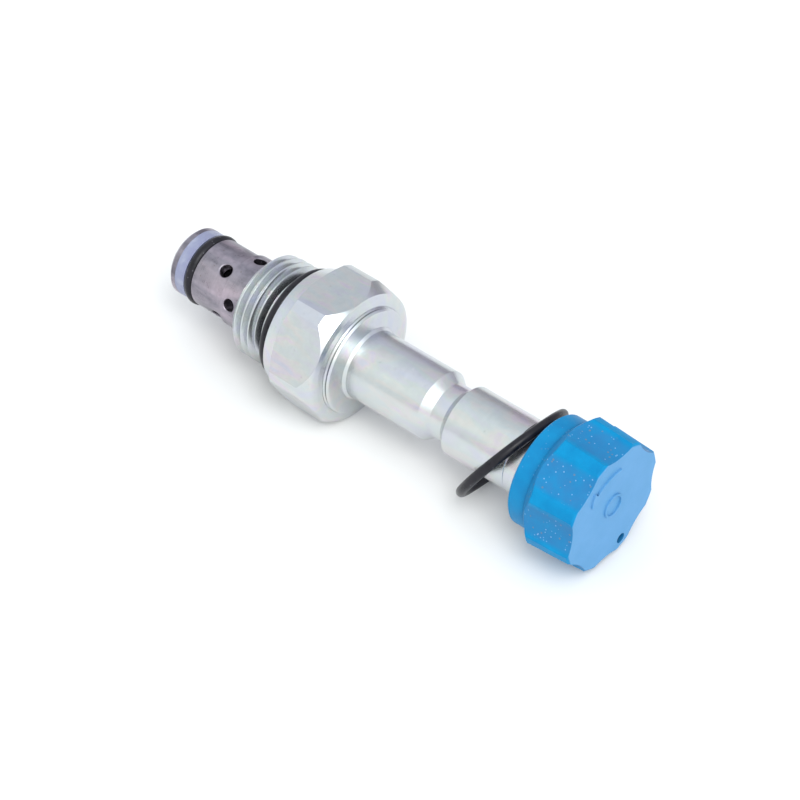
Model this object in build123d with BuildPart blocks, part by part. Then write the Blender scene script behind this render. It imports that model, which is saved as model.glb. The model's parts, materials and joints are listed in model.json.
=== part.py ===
"""Screw-in solenoid cartridge valve, with its coil taken off.

The valve lies along X: the ported nose points to -X and the coil nut to +X. The origin is on the
valve's axis, in the plane of the sealing face under the hexagon. Two hexagon flats face +Z and -Z.
Lengths are in millimetres, and an outline is a list of (x, radius) points turned about the X axis.
"""
import os
from math import asin, cos, radians, sin, tan

from build123d import *

os.makedirs("parts", exist_ok=True)

# ---------------------------------------------------------------- clearances and press fits
SLIDE = 0.03  # radial, between a sliding piece and its bore
SEAT_GAP = 0.05  # axial, between a valve seat and what closes on it
SEAL_GAP = 0.05  # axial, on each side of a rubber ring in its groove
THREAD_GAP = 0.06  # radial, between the coil nut's bush and the crests of the stud
LOOSE = 0.3  # between the nut's seal ring and the nut around it
SPRING_GAP = 0.15  # radial, between a coil spring and the pocket around it
BACKUP_GAP = 0.03  # the backup ring lies this far below the nose's surface
SHIM_GAP = 0.3  # between the shim's edge and the bore around it

# ---------------------------------------------------------------- form of an outside 60 degree thread
THREAD_DEPTH = 0.6134  # of the pitch, from crest to root
THREAD_ROOT = 0.17  # of the pitch, width of the flat at the root
THREAD_OVERRUN = 0.15  # of the pitch, by which the cut starts outside the crest

# ---------------------------------------------------------------- cavity thread, seal and hexagon
thread_d = 19.05  # 3/4-16 UNF, crest to crest
thread_pitch = 25.4 / 16
thread_length = 6.2  # from the body's end to the relief
thread_lead = 0.9  # chamfer on the first thread
relief_length = 3.2  # turned neck between thread and hexagon, where the seal lies
relief_depth = 1.325  # below the thread's crests
body_seal_section = 2.2
seat_recess = 0.1  # the face under the seal stands back from the sealing face
seat_land = 0.6  # width of the sealing face outside the seal
hex_margin = 1.6  # the flats stand this far outside the seal
hex_corner = 1.3  # the turned corners stand this far outside the flats
hex_start = 2.7  # the lower bevel meets the middle of each flat here
hex_corner_start = 3.5
hex_corner_end = 9.65
hex_height = 12.0  # the upper bevel meets the middle of each flat here
crown_height = 0.6  # from there to the foot of the crimped boss
crown_width = 1.9  # from the flats in to the foot of the boss
crown_knee_height = 0.36  # the crown's steep outer part turns flatter here
crown_knee_width = 0.86
boss_height = 0.9
boss_taper = 0.25
boss_edge_break = 0.2  # chamfer on the boss's top edge
boss_groove_rise = 0.3  # from the boss's foot to the fine V groove round it
boss_groove_width = 0.25
boss_groove_depth = 0.2
crimp_rise = 0.5  # the rolled lip rises towards the tube
crimp_lip = 1.2  # from the top of the boss down to the tube's flange

# ---------------------------------------------------------------- cage
guide_bore_d = 9.0  # poppet guide in the cage and plunger bore in the tube
nose_d = 12.66
shoulder_d = 13.5
nose_bore_d = 7.2
nose_reach = 27.1  # from the sealing face to the nose's tip
nose_bevel = 0.7
nose_bore_bevel = 0.3
nose_land = 1.6  # from the tip to the seal groove
groove_floor_d = 9.7
backup_width = 2.1
nose_seal_section = 1.8
shoulder_reach = 14.3  # from the sealing face to the cage's shoulder
seat_margin = 0.9  # from the seal groove to the main seat
port_count = 4
lower_port_d = 2.4
lower_port_rise = 4.6  # from the main seat
lower_port_angle = -28.4  # degrees from +Z towards +Y
upper_port_d = 2.3
upper_port_rise = 8.2
upper_port_angle = 16.6
port_bevel = 0.15  # chamfer on the outer edge of each port
cage_depth = 2.8  # the cage's inner end, past the sealing face

# ---------------------------------------------------------------- armature tube
tube_d = 12.7  # the coil slides over this
spigot_length = 5.7  # below the flange, in the body's bore
spigot_groove_start = 1.6
spigot_groove_width = 1.4
spigot_seal_section = 1.1
flange_width = 1.65  # the crimped flange stands this far outside the body's bore
root_collar_width = 0.45  # the collar at the tube's root stands this far outside it
root_bevel = 0.45
crimp_wall = 1.3
barrel_length = 15.7  # from the root to the waist
waist_bevel_in = 1.7
waist_length = 2.5
waist_bevel_out = 1.4
waist_wall = 0.5
upper_barrel_length = 12.75
seam_bevel = 0.12  # on both edges of the seam between tube and core

# ---------------------------------------------------------------- fixed core and its stud
core_face_back = 1.9  # the core's face stands this far short of the waist's outer end
core_groove_start = 9.0  # from the core's face
core_groove_width = 1.3
core_groove_depth = 1.2
core_head_length = 3.45
head_bevel = 0.4
stud_d = 10.0
stud_pitch = 1.5
stud_length = 10.5
stud_lead = 0.9  # chamfer on the stud's end
stud_neck_length = 1.4
stud_neck_depth = 1.05  # below the stud's crests
spring_pocket_d = 4.4
core_pocket_depth = 4.0

# ---------------------------------------------------------------- plunger, pin and springs
plunger_lift = 2.0
shim_thickness = 0.2
shim_hole_margin = 0.1  # the shim's hole is this much wider than the spring pocket, in radius
plunger_foot_gap = 1.2  # from the cage's end to the plunger's foot
plunger_pocket_depth = 11.2
plunger_slot_width = 1.2
plunger_slot_depth = 0.8
plunger_bevel = 0.3
pin_d = 2.4
pin_grip = 8.0  # length pressed in the plunger
pin_tip_d = 0.6
pin_tip_length = 1.6
return_wire_d = 0.5
return_coils = 9
poppet_wire_d = 0.4
poppet_coils = 7

# ---------------------------------------------------------------- main poppet
poppet_neck_d = 6.0
poppet_guide_length = 8.2
poppet_guide_reach = 3.0  # from the sealing face down to the top of the poppet
poppet_head_length = 0.6
poppet_head_step = 0.25  # the head is this much smaller than the guide, in radius
poppet_tip_length = 0.8  # of the seat cone, below the seat's edge
poppet_pocket_d = 4.8
poppet_pocket_depth = 6.5
pilot_hole_d = 1.2
pilot_hole_length = 2.0
drain_hole_d = 2.4
jet_d = 1.4
jet_bore_d = 0.4
jet_length = 2.0
feed_hole_d = 0.9

# ---------------------------------------------------------------- coil nut
nut_gap = 0.5  # from the core's head to the nut's flange
nut_flange_d = 19.9
nut_flange_length = 3.3
nut_lobe_d = 24.4
nut_valley_d = 22.0
nut_lobe_count = 8
nut_lobe_width = 2.3
nut_lobe_angle = -17.7  # degrees from +Z towards +Y, of one lobe's middle
nut_ramp_length = 2.1
nut_grip_length = 8.1
nut_draft = 3.2  # degrees, by which the lobes narrow towards the face
nut_rim_bevel = 0.4
nut_flange_bevel = 0.25
nut_wall = 2.7
nut_edge_round = 0.5
nut_dimple_d = 1.9  # blind hole in the face, in the lobe opposite the first
nut_dimple_depth = 1.3
nut_dimple_inset = 1.65  # from the face's rim to the dimple's middle
bush_wall = 1.9
bush_length = 8.5
bush_groove_depth = 0.5
bush_groove_width = 1.6
nut_seal_section = 1.2
nut_seal_gap = 0.5  # from the stud's crests out to the seal ring

# ---------------------------------------------------------------- loose coil ring
coil_ring_slack = 6.5  # its bore is this much wider than the tube
coil_ring_section = 1.7
coil_ring_tilt = 30.0  # degrees, about Y: its top leans towards the nut
coil_ring_yaw = -5.1  # degrees, about Z
coil_ring_reach = 7.4  # from its middle to the nut
coil_ring_side = 0.6  # its middle hangs this far towards +Y
coil_ring_rest = 0.12  # from the tube's top

# ---------------------------------------------------------------- radii
thread_r = thread_d / 2
thread_depth = THREAD_DEPTH * thread_pitch
relief_r = thread_r - relief_depth
seal_outer_r = relief_r + body_seal_section
seat_r = seal_outer_r + seat_land
flat_r = seal_outer_r + hex_margin
corner_r = flat_r + hex_corner
guide_r = guide_bore_d / 2
sliding_r = guide_r - SLIDE
nose_r = nose_d / 2
nose_bore_r = nose_bore_d / 2
groove_floor_r = groove_floor_d / 2
shoulder_r = shoulder_d / 2
tube_r = tube_d / 2
root_collar_r = tube_r + root_collar_width
waist_r = guide_r + waist_wall
flange_r = shoulder_r + flange_width
boss_r = flange_r + crimp_wall
stud_r = stud_d / 2
stud_neck_r = stud_r - stud_neck_depth
spring_pocket_r = spring_pocket_d / 2
poppet_pocket_r = poppet_pocket_d / 2
pin_r = pin_d / 2
bush_bore_r = stud_r + THREAD_GAP
bush_r = bush_bore_r + bush_wall

# ---------------------------------------------------------------- stations along the axis
groove_start = -nose_reach + nose_land
oring_start = groove_start + backup_width
groove_end = oring_start + nose_seal_section + 2 * SEAL_GAP
seat = groove_end + seat_margin
body_end = -(relief_length + thread_length)
boss_foot = hex_height + crown_height
boss_groove = boss_foot + boss_groove_rise
boss_top = boss_foot + boss_height
tube_root = boss_top + crimp_rise
flange_top = boss_top - crimp_lip
flange_foot = cage_depth + spigot_length
waist_start = tube_root + barrel_length
neck_start = waist_start + waist_bevel_in
neck_end = neck_start + waist_length
waist_end = neck_end + waist_bevel_out
seam = waist_end + upper_barrel_length
core_face = waist_end - core_face_back
head_end = seam + core_head_length
stud_end = head_end + stud_length
plunger_top = core_face - shim_thickness - plunger_lift - SEAT_GAP
plunger_foot = cage_depth + plunger_foot_gap
poppet_top = -poppet_guide_reach
poppet_floor = poppet_top - poppet_pocket_depth
nut_start = head_end + nut_gap
nut_ramp = nut_start + nut_flange_length
nut_end = nut_ramp + nut_ramp_length + nut_grip_length
nut_floor = nut_end - nut_wall


# ---------------------------------------------------------------- shared shapes
def outline(*points):
    """A closed face in the XZ plane through (x, radius) points, to be turned about the X axis."""
    with BuildSketch(Plane.XZ) as face:
        with BuildLine():
            Polyline(*points, close=True)
        make_face()
    return face.sketch


def rubber_ring(middle, inner_r, section):
    """An O-ring about the X axis."""
    with BuildPart() as ring:
        with BuildSketch(Plane.XZ):
            with Locations((middle, inner_r + section / 2)):
                Circle(section / 2)
        revolve(axis=Axis.X)
    return ring


def thread_groove(crest_r, pitch, start, length):
    """The helical V of an outside thread, cut with its 60 degree flanks from start over length."""
    depth = THREAD_DEPTH * pitch
    proud = THREAD_OVERRUN * pitch
    root = THREAD_ROOT * pitch
    mouth = root + 2 * (depth + proud) * tan(radians(30))
    with BuildPart() as groove:
        with BuildLine() as path:
            Helix(pitch, length, crest_r, center=(start, 0, 0), direction=(1, 0, 0))
        begin = path.line @ 0
        outward = Vector(0, begin.Y, begin.Z).normalized()
        across = outward.cross(path.line % 0)
        with BuildSketch(Plane(begin, x_dir=across, z_dir=path.line % 0)):
            with BuildLine():
                Polyline(
                    (-mouth / 2, proud),
                    (mouth / 2, proud),
                    (root / 2, -depth),
                    (-root / 2, -depth),
                    close=True,
                )
            make_face()
        sweep(is_frenet=True)
    return groove


def coil_spring(start, end, mean_r, wire_d, coils):
    """A round-wire compression spring about the X axis, between two end faces."""
    height = end - start - wire_d
    with BuildPart() as spring:
        with BuildLine() as path:
            Helix(
                height / coils,
                height,
                mean_r,
                center=(start + wire_d / 2, 0, 0),
                direction=(1, 0, 0),
            )
        with BuildSketch(Plane(path.line @ 0, z_dir=path.line % 0)):
            Circle(wire_d / 2)
        sweep(is_frenet=True)
    return spring


def radial_plane(x, angle):
    """A plane on the X axis at x that looks outwards at angle, from +Z towards +Y."""
    outward = (0, sin(radians(angle)), cos(radians(angle)))
    return Plane(origin=(x, 0, 0), x_dir=(1, 0, 0), z_dir=outward)


# ---------------------------------------------------------------- valve body
with BuildPart() as valve_body:
    with BuildSketch(Plane.YZ):
        RegularPolygon(flat_r, 6, major_radius=False)
    extrude(amount=tube_root)
    revolve(
        outline(
            (0, 0),
            (0, seat_r),
            (hex_start, flat_r),
            (hex_corner_start, corner_r),
            (hex_corner_end, corner_r),
            (hex_height, flat_r),
            (hex_height + crown_knee_height, flat_r - crown_knee_width),
            (boss_foot, flat_r - crown_width),
            (boss_foot, boss_r + boss_taper),
            (boss_groove, boss_r + boss_taper / 2),
            (boss_groove + boss_groove_width / 2, boss_r - boss_groove_depth),
            (boss_groove + boss_groove_width, boss_r + boss_taper / 2),
            (boss_top - boss_edge_break, boss_r),
            (boss_top, boss_r - boss_edge_break),
            (tube_root, root_collar_r),
            (tube_root, 0),
        ),
        axis=Axis.X,
        mode=Mode.INTERSECT,
    )
    revolve(
        outline(
            (body_end, 0),
            (body_end, thread_r - thread_lead),
            (body_end + thread_lead, thread_r),
            (-relief_length - thread_depth, thread_r),
            (-relief_length, relief_r),
            (0, relief_r),
            (0, 0),
        ),
        axis=Axis.X,
    )
    revolve(
        outline(
            (-SEAL_GAP, relief_r),
            (-SEAL_GAP, seal_outer_r + SEAL_GAP),
            (seat_recess, seal_outer_r + SEAL_GAP),
            (seat_recess, relief_r),
        ),
        axis=Axis.X,
        mode=Mode.SUBTRACT,
    )
    revolve(
        outline(
            (body_end, 0),
            (body_end, shoulder_r),
            (flange_foot, shoulder_r),
            (flange_foot, flange_r),
            (flange_top, flange_r),
            (flange_top, root_collar_r),
            (tube_root, root_collar_r),
            (tube_root, 0),
        ),
        axis=Axis.X,
        mode=Mode.SUBTRACT,
    )
    cavity_thread = thread_groove(
        thread_r, thread_pitch, body_end - thread_pitch, thread_length + thread_pitch
    )
    add(cavity_thread.part, mode=Mode.SUBTRACT)

# ---------------------------------------------------------------- cage and its seals
with BuildPart() as cage_sleeve:
    revolve(
        outline(
            (-nose_reach, nose_bore_r + nose_bore_bevel),
            (-nose_reach, nose_r - nose_bevel),
            (-nose_reach + nose_bevel, nose_r),
            (groove_start, nose_r),
            (groove_start, groove_floor_r),
            (groove_end, groove_floor_r),
            (groove_end, nose_r),
            (-shoulder_reach - (shoulder_r - nose_r) / 2, nose_r),
            (-shoulder_reach, shoulder_r),
            (cage_depth, shoulder_r),
            (cage_depth, guide_r),
            (seat, guide_r),
            (seat, nose_bore_r),
            (-nose_reach + nose_bore_bevel, nose_bore_r),
        ),
        axis=Axis.X,
    )
    for rise, diameter, angle in (
        (lower_port_rise, lower_port_d, lower_port_angle),
        (upper_port_rise, upper_port_d, upper_port_angle),
    ):
        for turn in range(port_count):
            with BuildSketch(radial_plane(seat + rise, angle + turn * 360 / port_count)):
                Circle(diameter / 2)
            extrude(amount=shoulder_d, mode=Mode.SUBTRACT)
            rims = cage_sleeve.edges(Select.LAST).sort_by_distance((seat + rise, 0, 0))
            chamfer(rims[-1], port_bevel)

with BuildPart() as nose_backup_ring:
    revolve(
        outline(
            (groove_start, groove_floor_r),
            (groove_start, nose_r - BACKUP_GAP),
            (oring_start, nose_r - BACKUP_GAP),
            (oring_start, groove_floor_r),
        ),
        axis=Axis.X,
    )

nose_oring = rubber_ring(
    oring_start + SEAL_GAP + nose_seal_section / 2, groove_floor_r, nose_seal_section
)
body_oring = rubber_ring(seat_recess - body_seal_section / 2, relief_r, body_seal_section)

# ---------------------------------------------------------------- armature tube and its seal
spigot_groove_r = shoulder_r - spigot_seal_section
spigot_groove_foot = cage_depth + spigot_groove_start
with BuildPart() as armature_tube:
    revolve(
        outline(
            (cage_depth, guide_r),
            (cage_depth, shoulder_r),
            (spigot_groove_foot, shoulder_r),
            (spigot_groove_foot, spigot_groove_r),
            (spigot_groove_foot + spigot_groove_width, spigot_groove_r),
            (spigot_groove_foot + spigot_groove_width, shoulder_r),
            (flange_foot, shoulder_r),
            (flange_foot, flange_r),
            (flange_top, flange_r),
            (flange_top, root_collar_r),
            (tube_root, root_collar_r),
            (tube_root + root_bevel, tube_r),
            (waist_start, tube_r),
            (neck_start, waist_r),
            (neck_end, waist_r),
            (waist_end, tube_r),
            (seam - seam_bevel, tube_r),
            (seam, tube_r - seam_bevel),
            (seam, guide_r),
        ),
        axis=Axis.X,
    )

tube_oring = rubber_ring(
    spigot_groove_foot + spigot_groove_width / 2, spigot_groove_r, spigot_seal_section
)

# ---------------------------------------------------------------- fixed core, its seal and the shim
core_groove_r = guide_r - core_groove_depth
core_groove = core_face + core_groove_start
with BuildPart() as pole_core:
    revolve(
        outline(
            (core_face, spring_pocket_r),
            (core_face, guide_r),
            (core_groove, guide_r),
            (core_groove, core_groove_r),
            (core_groove + core_groove_width, core_groove_r),
            (core_groove + core_groove_width, guide_r),
            (seam, guide_r),
            (seam, tube_r - seam_bevel),
            (seam + seam_bevel, tube_r),
            (head_end - head_bevel, tube_r),
            (head_end, tube_r - head_bevel),
            (head_end, stud_neck_r),
            (head_end + stud_neck_length, stud_neck_r),
            (head_end + stud_neck_length, stud_r),
            (stud_end - stud_lead, stud_r),
            (stud_end, stud_r - stud_lead),
            (stud_end, 0),
            (core_face + core_pocket_depth, 0),
            (core_face + core_pocket_depth, spring_pocket_r),
        ),
        axis=Axis.X,
    )
    stud_thread = thread_groove(
        stud_r, stud_pitch, head_end + stud_neck_length / 2, stud_length
    )
    add(stud_thread.part, mode=Mode.SUBTRACT)

core_oring = rubber_ring(
    core_groove + core_groove_width / 2, core_groove_r, core_groove_depth
)

with BuildPart() as residual_shim:
    with BuildSketch(Plane.YZ.offset(core_face - shim_thickness)):
        Circle(guide_r - SHIM_GAP)
        Circle(spring_pocket_r + shim_hole_margin, mode=Mode.SUBTRACT)
    extrude(amount=shim_thickness)

# ---------------------------------------------------------------- plunger, pilot pin and springs
plunger_pocket = plunger_top - plunger_pocket_depth
pin_end = plunger_foot + pin_grip
with BuildPart() as plunger:
    revolve(
        outline(
            (plunger_foot, pin_r),
            (plunger_foot, sliding_r - plunger_bevel),
            (plunger_foot + plunger_bevel, sliding_r),
            (plunger_top, sliding_r),
            (plunger_top, spring_pocket_r),
            (plunger_pocket, spring_pocket_r),
            (plunger_pocket, 0),
            (pin_end, 0),
            (pin_end, pin_r),
        ),
        axis=Axis.X,
    )
    for side in (-1, 1):
        with BuildSketch(Plane.YZ.offset(plunger_foot)):
            with Locations((side * sliding_r, 0)):
                Rectangle(2 * plunger_slot_depth, plunger_slot_width)
        extrude(amount=plunger_top - plunger_foot, mode=Mode.SUBTRACT)

# the pin's cone closes the pilot hole where its radius equals the hole's
pin_slope = (pin_d - pin_tip_d) / 2 / pin_tip_length
pin_tip = poppet_floor + SEAT_GAP - (pilot_hole_d - pin_tip_d) / 2 / pin_slope
with BuildPart() as pilot_pin:
    revolve(
        outline(
            (pin_tip, 0),
            (pin_tip, pin_tip_d / 2),
            (pin_tip + pin_tip_length, pin_r),
            (pin_end, pin_r),
            (pin_end, 0),
        ),
        axis=Axis.X,
    )

return_spring = coil_spring(
    plunger_pocket,
    core_face + core_pocket_depth,
    spring_pocket_r - return_wire_d / 2 - SPRING_GAP,
    return_wire_d,
    return_coils,
)
poppet_spring = coil_spring(
    poppet_floor,
    plunger_foot,
    poppet_pocket_r - poppet_wire_d / 2 - SPRING_GAP,
    poppet_wire_d,
    poppet_coils,
)

# ---------------------------------------------------------------- main poppet and its jet
seat_edge_r = nose_bore_r - SEAT_GAP
head_r = sliding_r - poppet_head_step
cone_start = seat - poppet_tip_length
cone_end = seat + head_r - seat_edge_r
guide_start = poppet_top - poppet_guide_length
jet_r = (poppet_pocket_r + sliding_r) / 2
with BuildPart() as main_poppet:
    revolve(
        outline(
            (cone_start, drain_hole_d / 2),
            (cone_start, seat_edge_r - poppet_tip_length),
            (cone_end, head_r),
            (cone_end + poppet_head_length, head_r),
            (cone_end + 2 * poppet_head_length, poppet_neck_d / 2),
            (guide_start, poppet_neck_d / 2),
            (guide_start, sliding_r),
            (poppet_top, sliding_r),
            (poppet_top, poppet_pocket_r),
            (poppet_floor, poppet_pocket_r),
            (poppet_floor, pilot_hole_d / 2),
            (poppet_floor - pilot_hole_length, pilot_hole_d / 2),
            (poppet_floor - pilot_hole_length, drain_hole_d / 2),
        ),
        axis=Axis.X,
    )
    with BuildSketch(Plane.YZ.offset(guide_start)):
        with Locations((jet_r, 0)):
            Circle(feed_hole_d / 2)
    extrude(amount=poppet_guide_length, mode=Mode.SUBTRACT)
    with BuildSketch(Plane.YZ.offset(guide_start)):
        with Locations((jet_r, 0)):
            Circle(jet_d / 2)
    extrude(amount=jet_length, mode=Mode.SUBTRACT)

with BuildPart() as bleed_orifice:
    with BuildSketch(Plane.YZ.offset(guide_start)):
        with Locations((jet_r, 0)):
            Circle(jet_d / 2)
            Circle(jet_bore_d / 2, mode=Mode.SUBTRACT)
    extrude(amount=jet_length)

# ---------------------------------------------------------------- coil nut, its bush and its seal ring
lobe_r = nut_lobe_d / 2
valley_r = nut_valley_d / 2
half_scallop = radians(180 / nut_lobe_count) - asin(nut_lobe_width / 2 / lobe_r)
half_chord = lobe_r * sin(half_scallop)
scallop_depth = lobe_r * cos(half_scallop) - valley_r
scallop_r = (half_chord**2 + scallop_depth**2) / (2 * scallop_depth)
first_scallop = 90 - nut_lobe_angle + 180 / nut_lobe_count
face_r = lobe_r - (nut_end - nut_ramp) * tan(radians(nut_draft)) - nut_rim_bevel
bush_start = nut_floor - bush_length
nut_seal_inner_r = stud_r + nut_seal_gap
seal_pocket_r = nut_seal_inner_r + nut_seal_section + LOOSE
seal_pocket_depth = nut_seal_section + LOOSE / 2
bush_groove = (bush_start + nut_floor - bush_groove_width) / 2
bush_outside = (
    (bush_start, bush_r),
    (bush_groove, bush_r),
    (bush_groove, bush_r - bush_groove_depth),
    (bush_groove + bush_groove_width, bush_r - bush_groove_depth),
    (bush_groove + bush_groove_width, bush_r),
    (nut_floor, bush_r),
)
with BuildPart() as coil_nut:
    with BuildSketch(Plane.YZ.offset(nut_ramp)) as lobes:
        Circle(lobe_r)
        with PolarLocations(valley_r + scallop_r, nut_lobe_count, first_scallop):
            Circle(scallop_r, mode=Mode.SUBTRACT)
        fillet(lobes.vertices(), nut_edge_round)
    extrude(amount=nut_end - nut_ramp, taper=nut_draft)
    revolve(
        outline(
            (nut_ramp, 0),
            (nut_ramp, nut_flange_d / 2),
            (nut_ramp + nut_ramp_length, lobe_r),
            (nut_end - nut_rim_bevel, face_r + nut_rim_bevel),
            (nut_end, face_r),
            (nut_end, 0),
        ),
        axis=Axis.X,
        mode=Mode.INTERSECT,
    )
    revolve(
        outline(
            (nut_start, 0),
            (nut_start, nut_flange_d / 2 - nut_flange_bevel),
            (nut_start + nut_flange_bevel, nut_flange_d / 2),
            (nut_ramp, nut_flange_d / 2),
            (nut_ramp, 0),
        ),
        axis=Axis.X,
    )
    with BuildSketch(Plane.YZ.offset(nut_end)):
        with PolarLocations(face_r - nut_dimple_inset, 1, 270 - nut_lobe_angle):
            Circle(nut_dimple_d / 2)
    extrude(amount=-nut_dimple_depth, mode=Mode.SUBTRACT)
    revolve(
        outline(
            (nut_start, 0),
            (nut_start, seal_pocket_r),
            (nut_start + seal_pocket_depth, seal_pocket_r),
            (nut_start + seal_pocket_depth, bush_bore_r),
            (bush_start, bush_bore_r),
            *bush_outside,
            (nut_floor, 0),
        ),
        axis=Axis.X,
        mode=Mode.SUBTRACT,
    )

with BuildPart() as nut_insert:
    revolve(
        outline(
            (bush_start, bush_bore_r),
            *bush_outside,
            (nut_floor, bush_bore_r),
        ),
        axis=Axis.X,
    )

nut_seal_ring = rubber_ring(nut_start + nut_seal_section / 2, nut_seal_inner_r, nut_seal_section)

# ---------------------------------------------------------------- loose coil ring
# it hangs on the tube's top, askew
coil_ring_r = tube_r + (coil_ring_slack + coil_ring_section) / 2
tilt = radians(coil_ring_tilt)
yaw = radians(coil_ring_yaw)
hang = tube_r + coil_ring_rest + coil_ring_section / 2 - coil_ring_r * cos(tilt)
ring_middle = Vector(nut_start - coil_ring_reach, coil_ring_side, hang)
ring_axis = Vector(cos(tilt) * cos(yaw), cos(tilt) * sin(yaw), -sin(tilt))
with BuildPart() as coil_oring:
    with BuildSketch(Plane(ring_middle, x_dir=ring_axis, z_dir=Vector(0, 1, 0).cross(ring_axis))):
        with Locations((0, coil_ring_r)):
            Circle(coil_ring_section / 2)
    revolve(axis=Axis(ring_middle, ring_axis))

# ---------------------------------------------------------------- write one file for each piece
pieces = {
    "valve_body": valve_body,
    "cage_sleeve": cage_sleeve,
    "nose_backup_ring": nose_backup_ring,
    "nose_oring": nose_oring,
    "body_oring": body_oring,
    "armature_tube": armature_tube,
    "tube_oring": tube_oring,
    "pole_core": pole_core,
    "core_oring": core_oring,
    "residual_shim": residual_shim,
    "plunger": plunger,
    "pilot_pin": pilot_pin,
    "return_spring": return_spring,
    "main_poppet": main_poppet,
    "poppet_spring": poppet_spring,
    "bleed_orifice": bleed_orifice,
    "coil_nut": coil_nut,
    "nut_insert": nut_insert,
    "nut_seal_ring": nut_seal_ring,
    "coil_oring": coil_oring,
}
for name, piece in pieces.items():
    piece.part.label = name
    export_step(piece.part, f"parts/{name}.step")
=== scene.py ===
"""Looks for the cartridge valve: plating, rubber and plastic, the nut's moulded marks, and a pale studio."""

import json
from math import cos, radians, sin

import bmesh
import bpy
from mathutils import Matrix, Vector


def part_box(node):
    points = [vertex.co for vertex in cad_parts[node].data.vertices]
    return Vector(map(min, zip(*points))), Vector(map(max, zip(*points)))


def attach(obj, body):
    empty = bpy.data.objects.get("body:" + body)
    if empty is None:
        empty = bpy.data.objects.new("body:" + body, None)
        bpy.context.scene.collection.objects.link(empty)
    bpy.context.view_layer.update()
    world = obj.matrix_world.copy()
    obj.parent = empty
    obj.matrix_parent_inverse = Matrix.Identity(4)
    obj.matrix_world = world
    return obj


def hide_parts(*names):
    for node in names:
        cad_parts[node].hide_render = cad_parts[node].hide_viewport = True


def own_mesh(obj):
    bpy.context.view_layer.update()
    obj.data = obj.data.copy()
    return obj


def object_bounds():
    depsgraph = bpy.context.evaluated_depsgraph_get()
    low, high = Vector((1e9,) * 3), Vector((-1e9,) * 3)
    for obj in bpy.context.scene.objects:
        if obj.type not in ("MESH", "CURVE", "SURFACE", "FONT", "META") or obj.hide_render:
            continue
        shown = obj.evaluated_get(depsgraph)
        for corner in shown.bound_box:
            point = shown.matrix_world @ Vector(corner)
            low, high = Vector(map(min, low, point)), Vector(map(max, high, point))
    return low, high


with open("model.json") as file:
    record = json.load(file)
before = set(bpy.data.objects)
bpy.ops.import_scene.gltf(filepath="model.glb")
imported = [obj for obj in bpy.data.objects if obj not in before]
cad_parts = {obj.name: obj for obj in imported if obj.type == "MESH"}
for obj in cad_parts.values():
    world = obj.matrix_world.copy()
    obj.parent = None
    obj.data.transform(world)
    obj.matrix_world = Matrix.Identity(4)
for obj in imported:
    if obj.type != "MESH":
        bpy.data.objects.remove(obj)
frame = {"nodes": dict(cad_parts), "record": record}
cad_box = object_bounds()
MM = 0.001

# ---------------------------------------------------------------- camera
CAMERA_AZIMUTH = 41.0  # degrees; 0 looks along +Y
CAMERA_ELEVATION = 43.6
CAMERA_DISTANCE = 0.4145
CAMERA_LENS = 112.5
CAMERA_SENSOR = 36.0
CAMERA_CLIP = (0.01, 20.0)
LOOK_AT = Vector((23.1, -2.5, -1.0)) * MM

# ---------------------------------------------------------------- studio
FLOOR_HALF = 3.0
FLOOR_COLOUR = (0.84, 0.835, 0.83)
FLOOR_ROUGHNESS = 0.9
FLOOR_SPECULAR = 0.1
# The world is two glows multiplied together. Each runs from 0, away from its side, to 1, straight towards it:
# a dim screen stands behind the valve, and a bright window is up on the +X side.
SCREEN_SIDE = Vector((-0.2, 0.98, 0.0))
SCREEN_GLOW = (
    (0.00, (0.92, 0.92, 0.94)),
    (0.11, (0.96, 0.97, 1.00)),
    (0.18, (1.24, 1.29, 1.27)),
    (0.36, (1.08, 1.14, 1.14)),
    (0.48, (1.12, 1.18, 1.23)),
    (0.60, (0.96, 1.02, 1.08)),
    (0.715, (0.84, 0.89, 0.96)),
    (0.85, (0.80, 0.83, 0.90)),
    (0.90, (0.74, 0.74, 0.80)),
    (0.955, (0.52, 0.50, 0.56)),
    (1.00, (0.40, 0.38, 0.43)),
)
BACKDROP_COLOUR = (0.97, 0.97, 0.97)  # what the camera sees past the floor's far edge
WINDOW_SIDE = Vector((0.64, -0.38, 0.67))
WINDOW_GLOW = (
    (0.00, (0.95, 0.95, 0.95)),
    (0.86, (0.95, 0.95, 0.95)),
    (0.95, (1.70, 1.70, 1.70)),
    (1.00, (2.00, 2.00, 2.00)),
)
KEY_PLACE = Vector((0.42, -0.28, 0.70))
KEY_TARGET = Vector((0.02, 0.0, 0.0))
KEY_SIZE = 0.35
KEY_POWER = 2.2


def add_camera():
    azimuth, elevation = radians(CAMERA_AZIMUTH), radians(CAMERA_ELEVATION)
    back = Vector((sin(azimuth) * cos(elevation), -cos(azimuth) * cos(elevation), sin(elevation)))
    data = bpy.data.cameras.new("camera")
    data.lens = CAMERA_LENS
    data.sensor_width = CAMERA_SENSOR
    data.clip_start, data.clip_end = CAMERA_CLIP
    camera = bpy.data.objects.new("camera", data)
    bpy.context.scene.collection.objects.link(camera)
    camera.location = LOOK_AT + back * CAMERA_DISTANCE
    camera.rotation_mode = "QUATERNION"
    camera.rotation_quaternion = (-back).to_track_quat("-Z", "Y")
    bpy.context.scene.camera = camera


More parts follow.
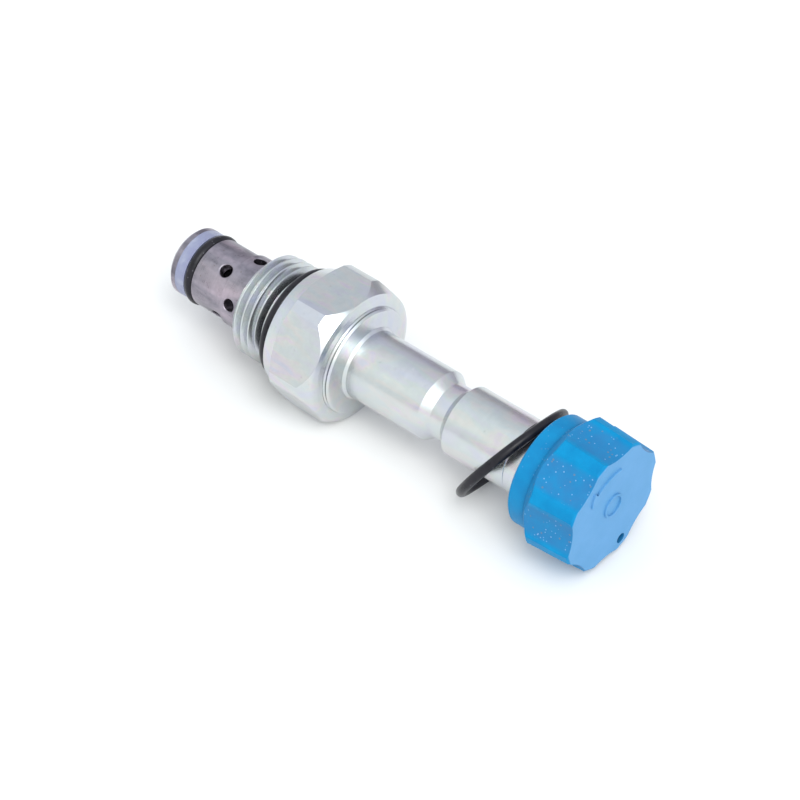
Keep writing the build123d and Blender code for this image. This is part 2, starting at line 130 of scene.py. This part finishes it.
def add_floor(height):
    corners = [
        (x * FLOOR_HALF, y * FLOOR_HALF, height) for x, y in ((-1, -1), (1, -1), (1, 1), (-1, 1))
    ]
    mesh = bpy.data.meshes.new("floor")
    mesh.from_pydata(corners, [], [(0, 1, 2, 3)])
    floor = bpy.data.objects.new("floor", mesh)
    bpy.context.scene.collection.objects.link(floor)
    material, _, shader = new_material("floor_paper")
    shader.inputs["Base Color"].default_value = (*FLOOR_COLOUR, 1)
    shader.inputs["Roughness"].default_value = FLOOR_ROUGHNESS
    shader.inputs["Specular IOR Level"].default_value = FLOOR_SPECULAR
    mesh.materials.append(material)


def add_key_light():
    data = bpy.data.lights.new("key", "AREA")
    data.shape = "RECTANGLE"
    data.size = data.size_y = KEY_SIZE
    data.energy = KEY_POWER
    light = bpy.data.objects.new("key", data)
    bpy.context.scene.collection.objects.link(light)
    light.location = KEY_PLACE
    light.rotation_mode = "QUATERNION"
    light.rotation_quaternion = (KEY_TARGET - KEY_PLACE).to_track_quat("-Z", "Y")


def add_world():
    world = bpy.data.worlds.new("studio")
    world.use_nodes = True
    tree = world.node_tree
    heading = out(add(tree, "ShaderNodeTexCoord", {}), "Generated")
    glows = []
    for side, stops in ((SCREEN_SIDE, SCREEN_GLOW), (WINDOW_SIDE, WINDOW_GLOW)):
        along = add(tree, "ShaderNodeVectorMath", {0: heading, 1: side}, operation="DOT_PRODUCT")
        glows.append(ramp(tree, spread(tree, out(along, "Value"), -1.0, 1.0, 0.0, 1.0), stops))
    glow = blend_colour(tree, 1.0, *glows, kind="MULTIPLY")
    seen = out(add(tree, "ShaderNodeLightPath", {}), "Is Camera Ray")
    glow = blend_colour(tree, seen, glow, BACKDROP_COLOUR)
    tree.links.new(glow, tree.nodes["Background"].inputs["Color"])
    bpy.context.scene.world = world


# ---------------------------------------------------------------- node helpers
def new_material(name):
    material = bpy.data.materials.new(name)
    material.use_nodes = True
    return material, material.node_tree, material.node_tree.nodes["Principled BSDF"]


def add(tree, kind, inputs, **settings):
    """A node, with its inputs set to values or linked from sockets or from nodes' first outputs."""
    node = tree.nodes.new(kind)
    for key, value in settings.items():
        setattr(node, key, value)
    for key, value in inputs.items():
        if isinstance(value, bpy.types.Node):
            value = value.outputs[0]
        if isinstance(value, bpy.types.NodeSocket):
            tree.links.new(value, node.inputs[key])
        else:
            node.inputs[key].default_value = value
    return node


def out(node, name):
    return node.outputs[name]


def math(tree, operation, a, b=0.0):
    return add(tree, "ShaderNodeMath", {0: a, 1: b}, operation=operation).outputs[0]


def ramp(tree, factor, stops):
    node = add(tree, "ShaderNodeValToRGB", {"Fac": factor})
    elements = node.color_ramp.elements
    elements[0].position, elements[0].color = stops[0][0], (*stops[0][1], 1)
    elements[1].position, elements[1].color = stops[-1][0], (*stops[-1][1], 1)
    for place, colour in stops[1:-1]:
        elements.new(place).color = (*colour, 1)
    return node.outputs[0]


def spread(tree, value, low, high, new_low, new_high):
    """value mapped from low...high to new_low...new_high, and held at both ends."""
    return add(
        tree, "ShaderNodeMapRange", {0: value, 1: low, 2: high, 3: new_low, 4: new_high}
    ).outputs[0]


def blend_colour(tree, factor, first, second, kind="MIX"):
    node = add(tree, "ShaderNodeMix", {0: factor}, data_type="RGBA", blend_type=kind)
    for key, value in ((6, first), (7, second)):
        if isinstance(value, bpy.types.NodeSocket):
            tree.links.new(value, node.inputs[key])
        else:
            node.inputs[key].default_value = (*value, 1)
    return node.outputs[2]


def in_millimetres(tree):
    """The place in millimetres, its parts X, Y and Z, and its distance from the valve's axis."""
    place = out(add(tree, "ShaderNodeTexCoord", {}), "Object")
    scaled = add(tree, "ShaderNodeVectorMath", {0: place, "Scale": 1 / MM}, operation="SCALE")
    parts = add(tree, "ShaderNodeSeparateXYZ", {0: scaled})
    across = add(tree, "ShaderNodeCombineXYZ", {1: out(parts, "Y"), 2: out(parts, "Z")})
    radius = add(tree, "ShaderNodeVectorMath", {0: across}, operation="LENGTH")
    return scaled.outputs[0], parts, out(radius, "Value")


def noise(tree, vector, scale, detail=3.0, roughness=0.55, distortion=0.0):
    return add(
        tree,
        "ShaderNodeTexNoise",
        {
            "Vector": vector,
            "Scale": scale,
            "Detail": detail,
            "Roughness": roughness,
            "Distortion": distortion,
        },
    ).outputs[0]


def turned_lines(tree, parts, radius, fineness, drift=0.09):
    """Noise that runs round the axis as a lathe tool's marks do, in lines per millimetre."""
    vector = add(
        tree,
        "ShaderNodeCombineXYZ",
        {
            0: math(tree, "MULTIPLY", out(parts, "X"), fineness),
            1: math(tree, "MULTIPLY", radius, fineness),
            2: math(tree, "MULTIPLY", math(tree, "ADD", out(parts, "Y"), out(parts, "Z")), drift),
        },
    )
    return noise(tree, vector.outputs[0], 1.0, detail=4.0, roughness=0.7)


def specks(tree, vector, scale, size, density):
    """1 in small scattered spots and 0 elsewhere."""
    cells = add(
        tree,
        "ShaderNodeTexVoronoi",
        {"Vector": vector, "Scale": scale, "Randomness": 1.0},
        feature="F1",
    )
    spot = spread(tree, out(cells, "Distance"), size * 0.6, size, 1.0, 0.0)
    chosen = add(tree, "ShaderNodeSeparateColor", {0: out(cells, "Color")})
    kept = spread(tree, chosen.outputs[0], 1 - density, 1 - density + 0.01, 0.0, 1.0)
    return math(tree, "MULTIPLY", spot, kept)


def add_bump(tree, shader, layers, normal=None):
    """Stacks (height, strength, distance in millimetres) layers of bump on the shader."""
    for height, strength, distance in layers:
        inputs = {"Height": height, "Strength": strength, "Distance": distance * MM}
        if normal:
            inputs["Normal"] = normal
        normal = add(tree, "ShaderNodeBump", inputs)
    tree.links.new(normal.outputs[0], shader.inputs["Normal"])


# ---------------------------------------------------------------- materials
NOISE_LOW, NOISE_HIGH = 0.3, 0.7  # between which almost all of a noise's values lie

STAIN = (0.20, 0.17, 0.15)
# colour of the painted shade in the metal's corners and grooves
CREVICE_SHADE_COLOUR = (0.07, 0.065, 0.07)
STREAK = (0.35, 1.0, 1.0)  # draws the tints of metal out along the valve's axis
EDGE_GLEAM = 0.08  # millimetres, over which a metal edge catches the light
ZINC = (
    (0.0, (0.575, 0.60, 0.68)),
    (0.3, (0.60, 0.61, 0.655)),
    (0.5, (0.59, 0.635, 0.635)),
    (0.7, (0.635, 0.635, 0.62)),
    (0.85, (0.645, 0.60, 0.655)),
    (1.0, (0.59, 0.595, 0.675)),
)
CAGE = ((0.0, (0.17, 0.16, 0.19)), (0.45, (0.31, 0.285, 0.33)), (1.0, (0.47, 0.40, 0.46)))
STEEL = ((0.0, (0.40, 0.41, 0.43)), (1.0, (0.52, 0.52, 0.54)))
SPRING = ((0.0, (0.20, 0.20, 0.22)), (1.0, (0.30, 0.30, 0.32)))
BRASS = ((0.0, (0.60, 0.42, 0.16)), (1.0, (0.74, 0.55, 0.25)))

RUBBER = ((0.0, (0.007, 0.007, 0.010)), (1.0, (0.018, 0.016, 0.022)))
RUBBER_DUST = (0.30, 0.29, 0.32)
RUBBER_SPECULAR = 0.25

PTFE = ((0.0, (0.21, 0.22, 0.36)), (0.6, (0.26, 0.28, 0.40)), (1.0, (0.34, 0.36, 0.46)))
PTFE_SMUDGE = (0.22, 0.22, 0.28)
PTFE_LINES = 6.0  # skiving lines per millimetre
PTFE_SCATTER = 0.15
PTFE_SCATTER_REACH = (0.0008, 0.0008, 0.001)

NUT_SIDE = ((0.0, (0.0, 0.185, 0.42)), (0.5, (0.0, 0.215, 0.46)), (1.0, (0.0, 0.24, 0.50)))
# painted sheen: the nut's flat face is painted paler than its sides
NUT_FACE_SHEEN = ((0.0, (0.09, 0.28, 0.52)), (1.0, (0.12, 0.31, 0.56)))
# painted shade in the hollows between the grip's lobes
NUT_HOLLOW_SHADE = (0.03, 0.155, 0.36)
NUT_SHADE = (0.0, 0.035, 0.12)
NUT_PALE_SPECK = (0.35, 0.55, 0.80)
NUT_BROWN_SPECK = (0.16, 0.17, 0.17)
NUT_SPECULAR = 0.14
NUT_FLANGE_LENGTH = 3.3 * MM
NUT_DRAFT = 0.056  # by which the grip's radius shrinks with x
NUT_HOLLOW_RADIUS = 11.55  # millimetres, of the grip's hollows where it meets the flange
NUT_LOBE_RADIUS = 11.95  # and of its lobes


def crevices(tree, reach):
    """0 deep in a corner or groove, 1 in the open, within reach in millimetres."""
    shelter = add(
        tree, "ShaderNodeAmbientOcclusion", {"Distance": reach * MM}, only_local=True, samples=6
    )
    return out(shelter, "AO")


def metal(name, tints, roughness, lines, fineness, blotch=0.15, stain=0.0, crevice_shade=0.35):
    """Turned metal. tints are the ramp of its colour, lines how deep the tool's marks look, and fineness how
    many there are in a millimetre. blotch, stain and the last argument, the strength of painted shade in
    corners and grooves, run from 0 to 1."""
    material, tree, shader = new_material(name)
    place, parts, radius = in_millimetres(tree)
    shader.inputs["Metallic"].default_value = 1.0
    drawn_out = add(tree, "ShaderNodeVectorMath", {0: place, 1: STREAK}, operation="MULTIPLY")
    cloud = noise(tree, drawn_out.outputs[0], 0.3, detail=3.0, distortion=0.4)
    colour = ramp(tree, spread(tree, cloud, NOISE_LOW, NOISE_HIGH, 0.0, 1.0), tints)
    patches = noise(tree, place, 0.55, detail=5.0, roughness=0.62)
    tool = turned_lines(tree, parts, radius, fineness)
    shade = math(
        tree,
        "ADD",
        spread(tree, patches, NOISE_LOW, NOISE_HIGH, 1 - 0.6 * blotch, 1 + 0.4 * blotch),
        spread(tree, tool, NOISE_LOW, NOISE_HIGH, -0.6 * lines, 0.5 * lines),
    )
    grey = add(tree, "ShaderNodeCombineXYZ", {0: shade, 1: shade, 2: shade}).outputs[0]
    colour = blend_colour(tree, 1.0, colour, grey, "MULTIPLY")
    if stain:
        spots = specks(tree, place, 1.3, 0.22, 0.10)
        colour = blend_colour(tree, math(tree, "MULTIPLY", spots, stain), colour, STAIN)
    # painted shade: the colour darkens in corners and grooves, where shade falls
    crevice_shading = spread(tree, crevices(tree, 0.7), 0.35, 0.85, crevice_shade, 0.0)
    colour = blend_colour(tree, crevice_shading, colour, CREVICE_SHADE_COLOUR)
    tree.links.new(colour, shader.inputs["Base Color"])
    dulled = spread(
        tree, patches, NOISE_LOW, NOISE_HIGH, roughness * (1 - blotch), roughness * (1 + blotch)
    )
    scored = spread(tree, tool, 0.4, 0.75, 0.0, 0.5 * lines)
    tree.links.new(math(tree, "ADD", dulled, scored), shader.inputs["Roughness"])
    add_bump(
        tree,
        shader,
        (
            (tool, lines, 0.03),
            (noise(tree, place, 7.0, detail=2.0), 0.3 * blotch, 0.01),
            (patches, 0.4 * blotch, 0.03),
        ),
        add(tree, "ShaderNodeBevel", {"Radius": EDGE_GLEAM * MM}, samples=4),
    )
    return material


def rubber(name):
    """Black rubber with a patchy bloom and a little dust."""
    material, tree, shader = new_material(name)
    place = in_millimetres(tree)[0]
    bloom = noise(tree, place, 0.5, detail=4.0, distortion=0.4)
    colour = ramp(tree, spread(tree, bloom, NOISE_LOW, 0.75, 0.0, 1.0), RUBBER)
    dust = specks(tree, place, 2.2, 0.2, 0.10)
    colour = blend_colour(tree, math(tree, "MULTIPLY", dust, 0.5), colour, RUBBER_DUST)
    tree.links.new(colour, shader.inputs["Base Color"])
    tree.links.new(spread(tree, bloom, NOISE_LOW, NOISE_HIGH, 0.24, 0.42), shader.inputs["Roughness"])
    shader.inputs["Specular IOR Level"].default_value = RUBBER_SPECULAR
    add_bump(
        tree,
        shader,
        ((noise(tree, place, 5.0, detail=4.0), 0.16, 0.02), (noise(tree, place, 0.9), 0.10, 0.05)),
    )
    return material


def backup_plastic(name):
    """Whitish PTFE with fine lines round the axis and a few smudges."""
    material, tree, shader = new_material(name)
    place, parts, radius = in_millimetres(tree)
    cloud = noise(tree, place, 0.4, detail=4.0, distortion=0.5)
    skived = turned_lines(tree, parts, radius, PTFE_LINES)
    colour = ramp(tree, spread(tree, cloud, NOISE_LOW, NOISE_HIGH, 0.0, 1.0), PTFE)
    smudge = specks(tree, place, 1.6, 0.25, 0.12)
    colour = blend_colour(tree, math(tree, "MULTIPLY", smudge, 0.5), colour, PTFE_SMUDGE)
    tree.links.new(colour, shader.inputs["Base Color"])
    tree.links.new(spread(tree, skived, NOISE_LOW, NOISE_HIGH, 0.36, 0.5), shader.inputs["Roughness"])
    shader.inputs["Subsurface Weight"].default_value = PTFE_SCATTER
    shader.inputs["Subsurface Radius"].default_value = PTFE_SCATTER_REACH
    add_bump(tree, shader, ((skived, 0.15, 0.02), (noise(tree, place, 4.0), 0.08, 0.02)))
    return material


def nut_plastic(name, ramp_x, face_x):
    """Moulded blue plastic. The flat face at face_x is painted paler, a painted sheen. The grip, from ramp_x
    on, is painted darker and greyer in the hollows between its lobes, as painted shade, and speckled there."""
    material, tree, shader = new_material(name)
    place, parts, radius = in_millimetres(tree)
    cloud = noise(tree, place, 0.3, detail=5.0, roughness=0.6)
    level = spread(tree, cloud, 0.32, 0.68, 0.0, 1.0)
    on_face = spread(tree, out(parts, "X"), face_x / MM - 0.12, face_x / MM - 0.04, 0.0, 1.0)
    # painted sheen on the flat face
    colour = blend_colour(tree, on_face, ramp(tree, level, NUT_SIDE), ramp(tree, level, NUT_FACE_SHEEN))
    along_grip = math(tree, "SUBTRACT", out(parts, "X"), ramp_x / MM)
    drafted = math(tree, "MULTIPLY", along_grip, NUT_DRAFT)
    foot_radius = math(tree, "ADD", radius, drafted)
    hollow = spread(tree, foot_radius, NUT_HOLLOW_RADIUS, NUT_LOBE_RADIUS, 1.0, 0.0)
    past_flange = spread(tree, drafted, -0.02, 0.06, 0.25, 1.0)
    hollow = math(tree, "MULTIPLY", hollow, past_flange)
    hollow = math(tree, "MULTIPLY", math(tree, "SUBTRACT", 1.0, on_face), hollow)
    # painted shade in the grip's hollows, patchy by noise
    hollow_shade_patchiness = spread(tree, noise(tree, place, 0.45, detail=5.0), NOISE_LOW, NOISE_HIGH, 0.35, 0.75)
    colour = blend_colour(tree, math(tree, "MULTIPLY", hollow, hollow_shade_patchiness), colour, NUT_HOLLOW_SHADE)
    for spots, strength, speck in (
        (specks(tree, place, 1.7, 0.24, 0.30), 0.45, NUT_PALE_SPECK),
        (specks(tree, place, 1.2, 0.26, 0.22), 0.6, NUT_BROWN_SPECK),
    ):
        seen = math(tree, "MULTIPLY", math(tree, "MULTIPLY", spots, hollow), strength)
        colour = blend_colour(tree, seen, colour, speck)
    shelter = spread(tree, crevices(tree, 1.0), 0.55, 0.95, 1.0, 0.0)
    colour = blend_colour(tree, shelter, colour, NUT_SHADE)
    tree.links.new(colour, shader.inputs["Base Color"])
    grain = noise(tree, place, 6.0, detail=3.0)
    tree.links.new(spread(tree, cloud, NOISE_LOW, NOISE_HIGH, 0.38, 0.52), shader.inputs["Roughness"])
    shader.inputs["Specular IOR Level"].default_value = NUT_SPECULAR
    add_bump(tree, shader, ((grain, 0.12, 0.015), (cloud, 0.15, 0.10)))
    return material


nut_low, nut_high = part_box("coil_nut")
looks = {
    "zinc_plate": metal("zinc_plate", ZINC, 0.25, 0.025, 5.0, blotch=0.06, stain=0.2, crevice_shade=0.16),
    "cage_steel": metal("cage_steel", CAGE, 0.32, 0.14, 7.0, blotch=0.36, stain=0.6, crevice_shade=0.7),
    "bare_steel": metal("bare_steel", STEEL, 0.22, 0.12, 8.0),
    "spring_steel": metal("spring_steel", SPRING, 0.34, 0.05, 3.0),
    "brass": metal("brass", BRASS, 0.26, 0.15, 6.0),
    "white_ptfe": backup_plastic("white_ptfe"),
    "black_rubber": rubber("black_rubber"),
    "blue_plastic": nut_plastic("blue_plastic", nut_low.x + NUT_FLANGE_LENGTH, nut_high.x),
}
slots = {part["node"]: part["material_slot"] for part in frame["record"]["subparts"]}
for name, node in frame["nodes"].items():
    node.data.materials.clear()
    node.data.materials.append(looks[slots[name]])


# ---------------------------------------------------------------- the nut's moulded marks
MARK_RADIUS = 7.6 * MM  # to the middle of the turning arrow
MARK_HALF_WIDTH = 0.6 * MM
MARK_START = 9.0  # degrees from +Z towards +Y
MARK_END = -52.0
MARK_HEAD = 16.0  # degrees, length of the arrow's head
MARK_HEAD_HALF_WIDTH = 1.6 * MM
MARK_TIP_SHARE = 0.06  # of the head's width is left at its tip
MARK_HEIGHT = 0.35 * MM  # above the face, and as far below it
MARK_STEPS = 28
MARK_HEAD_STEPS = 14
GATE_MIDDLE = Vector((0.0, -0.2, 0.9)) * MM
GATE_RADIUS = 2.0 * MM
GATE_RIM = 0.18 * MM  # half the ring's width
GATE_STEPS = 64
EDGE_ROUND = 0.07 * MM
EDGE_STEPS = 2


def face_point(radius, angle, lift, middle):
    """A point lift above the nut's face, at a radius and an angle from +Z round the middle."""
    turn = radians(angle)
    return Vector((nut_high.x + lift, radius * sin(turn), radius * cos(turn))) + middle


def make_piece(name, mesh, material_slot, body):
    piece = bpy.data.objects.new(name, mesh)
    bpy.context.scene.collection.objects.link(piece)
    mesh.materials.append(looks[material_slot])
    edge = piece.modifiers.new("edge", "BEVEL")
    edge.width = EDGE_ROUND
    edge.segments = EDGE_STEPS
    edge.limit_method = "ANGLE"
    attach(piece, body)
    return piece


def raised_plate(name, rows, closed):
    """A low plate on the nut's face, through rows of (inner radius, outer radius, angle, middle)."""
    shape = bmesh.new()
    rings = []
    for inner, outer, angle, middle in rows:
        rings.append(
            [
                shape.verts.new(face_point(radius, angle, lift, middle))
                for radius, lift in (
                    (inner, -MARK_HEIGHT),
                    (outer, -MARK_HEIGHT),
                    (outer, MARK_HEIGHT),
                    (inner, MARK_HEIGHT),
                )
            ]
        )
    pairs = list(zip(rings, rings[1:]))
    if closed:
        pairs.append((rings[-1], rings[0]))
    for first, second in pairs:
        corners = len(first)
        for side in range(corners):
            after = (side + 1) % corners
            shape.faces.new((first[side], second[side], second[after], first[after]))
    if not closed:
        shape.faces.new(rings[0])
        shape.faces.new(list(reversed(rings[-1])))
    bmesh.ops.recalc_face_normals(shape, faces=shape.faces)
    mesh = bpy.data.meshes.new(name)
    shape.to_mesh(mesh)
    shape.free()
    return make_piece(name, mesh, "blue_plastic", "nut")


def add_turning_arrow():
    """An arc with an arrowhead, which shows which way the nut turns."""
    rows = []
    neck = MARK_END + MARK_HEAD
    for step in range(MARK_STEPS + 1):
        angle = MARK_START + (neck - MARK_START) * step / MARK_STEPS
        rows.append((MARK_RADIUS - MARK_HALF_WIDTH, MARK_RADIUS + MARK_HALF_WIDTH, angle, Vector()))
    for step in range(MARK_HEAD_STEPS + 1):
        share = step / MARK_HEAD_STEPS
        half = MARK_HEAD_HALF_WIDTH * (1 - (1 - MARK_TIP_SHARE) * share)
        angle = neck + (MARK_END - neck) * share
        rows.append((MARK_RADIUS - half, MARK_RADIUS + half, angle, Vector()))
    raised_plate("nut_turning_arrow", rows, closed=False)


def add_gate_mark():
    """The small ring that the mould's gate leaves near the middle of the face."""
    rows = []
    for step in range(GATE_STEPS):
        angle = 360 * step / GATE_STEPS
        rows.append((GATE_RADIUS - GATE_RIM, GATE_RADIUS + GATE_RIM, angle, GATE_MIDDLE))
    raised_plate("nut_gate_ring", rows, closed=True)


add_turning_arrow()
add_gate_mark()

# ---------------------------------------------------------------- the return spring
def add_return_spring():
    """The spring as it is in the CAD, copied to a mesh of its own on the root body, with the CAD part hidden.
    """
    mesh = frame["nodes"]["return_spring"].data.copy()
    spring = bpy.data.objects.new("return_spring_coils", mesh)
    bpy.context.scene.collection.objects.link(spring)
    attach(spring, "root")
    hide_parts("return_spring")
    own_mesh(spring)


add_return_spring()

# ---------------------------------------------------------------- studio and end
add_camera()
add_floor(cad_box[0].z)
add_world()
add_key_light()
bpy.context.scene.view_settings.view_transform = "Standard"
